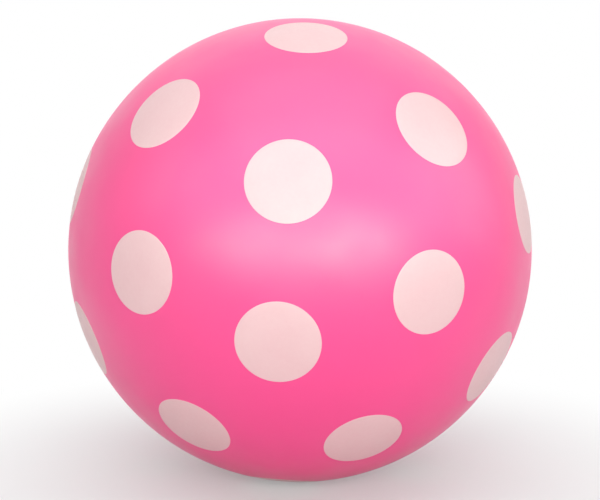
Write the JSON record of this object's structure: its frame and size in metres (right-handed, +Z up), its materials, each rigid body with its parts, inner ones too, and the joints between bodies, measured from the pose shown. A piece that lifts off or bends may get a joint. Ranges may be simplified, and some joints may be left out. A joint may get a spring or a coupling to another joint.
{
  "type": "toy ball",
  "caption": "Round inflatable play ball of pink vinyl, printed all over with white dots, with a flush valve at the back closed by a pull-out plug.",
  "frame": {"origin": "centre of the ball", "axes": "+Z up as the ball is pictured, +X to the viewer's right, -Y towards the viewer, +Y straight back, out through the valve"},
  "size_m": [0.23, 0.23, 0.23],
  "materials": {
    "pink_vinyl": "satin",
    "valve_vinyl": "satin",
    "white_plug": "satin",
    "white_ink": "satin"
  },
  "bodies": {
    "ball": {"ball_shell": "pink_vinyl", "valve_seat": "valve_vinyl", "front_pole_dot": "white_ink", "front_inner_dot_1": "white_ink", "front_inner_dot_2": "white_ink", "front_inner_dot_3": "white_ink", "front_inner_dot_4": "white_ink", "front_inner_dot_5": "white_ink", "front_middle_dot_1": "white_ink", "front_middle_dot_2": "white_ink", "front_middle_dot_3": "white_ink", "front_middle_dot_4": "white_ink", "front_middle_dot_5": "white_ink", "front_outer_dot_1": "white_ink", "front_outer_dot_2": "white_ink", "front_outer_dot_3": "white_ink", "front_outer_dot_4": "white_ink", "front_outer_dot_5": "white_ink", "rear_pole_dot": "white_ink", "rear_inner_dot_1": "white_ink", "rear_inner_dot_2": "white_ink", "rear_inner_dot_3": "white_ink", "rear_inner_dot_4": "white_ink", "rear_inner_dot_5": "white_ink", "rear_middle_dot_1": "white_ink", "rear_middle_dot_2": "white_ink", "rear_middle_dot_3": "white_ink", "rear_middle_dot_4": "white_ink", "rear_middle_dot_5": "white_ink", "rear_outer_dot_1": "white_ink", "rear_outer_dot_2": "white_ink", "rear_outer_dot_3": "white_ink", "rear_outer_dot_4": "white_ink", "rear_outer_dot_5": "white_ink"},
    "plug": {"valve_plug": "white_plug"}
  },
  "joints": [
    {"name": "plug_pull", "type": "slide", "parent": "ball", "child": "plug", "axis": [0, 1, 0], "range_m": [0, 0.024]}
  ]
}
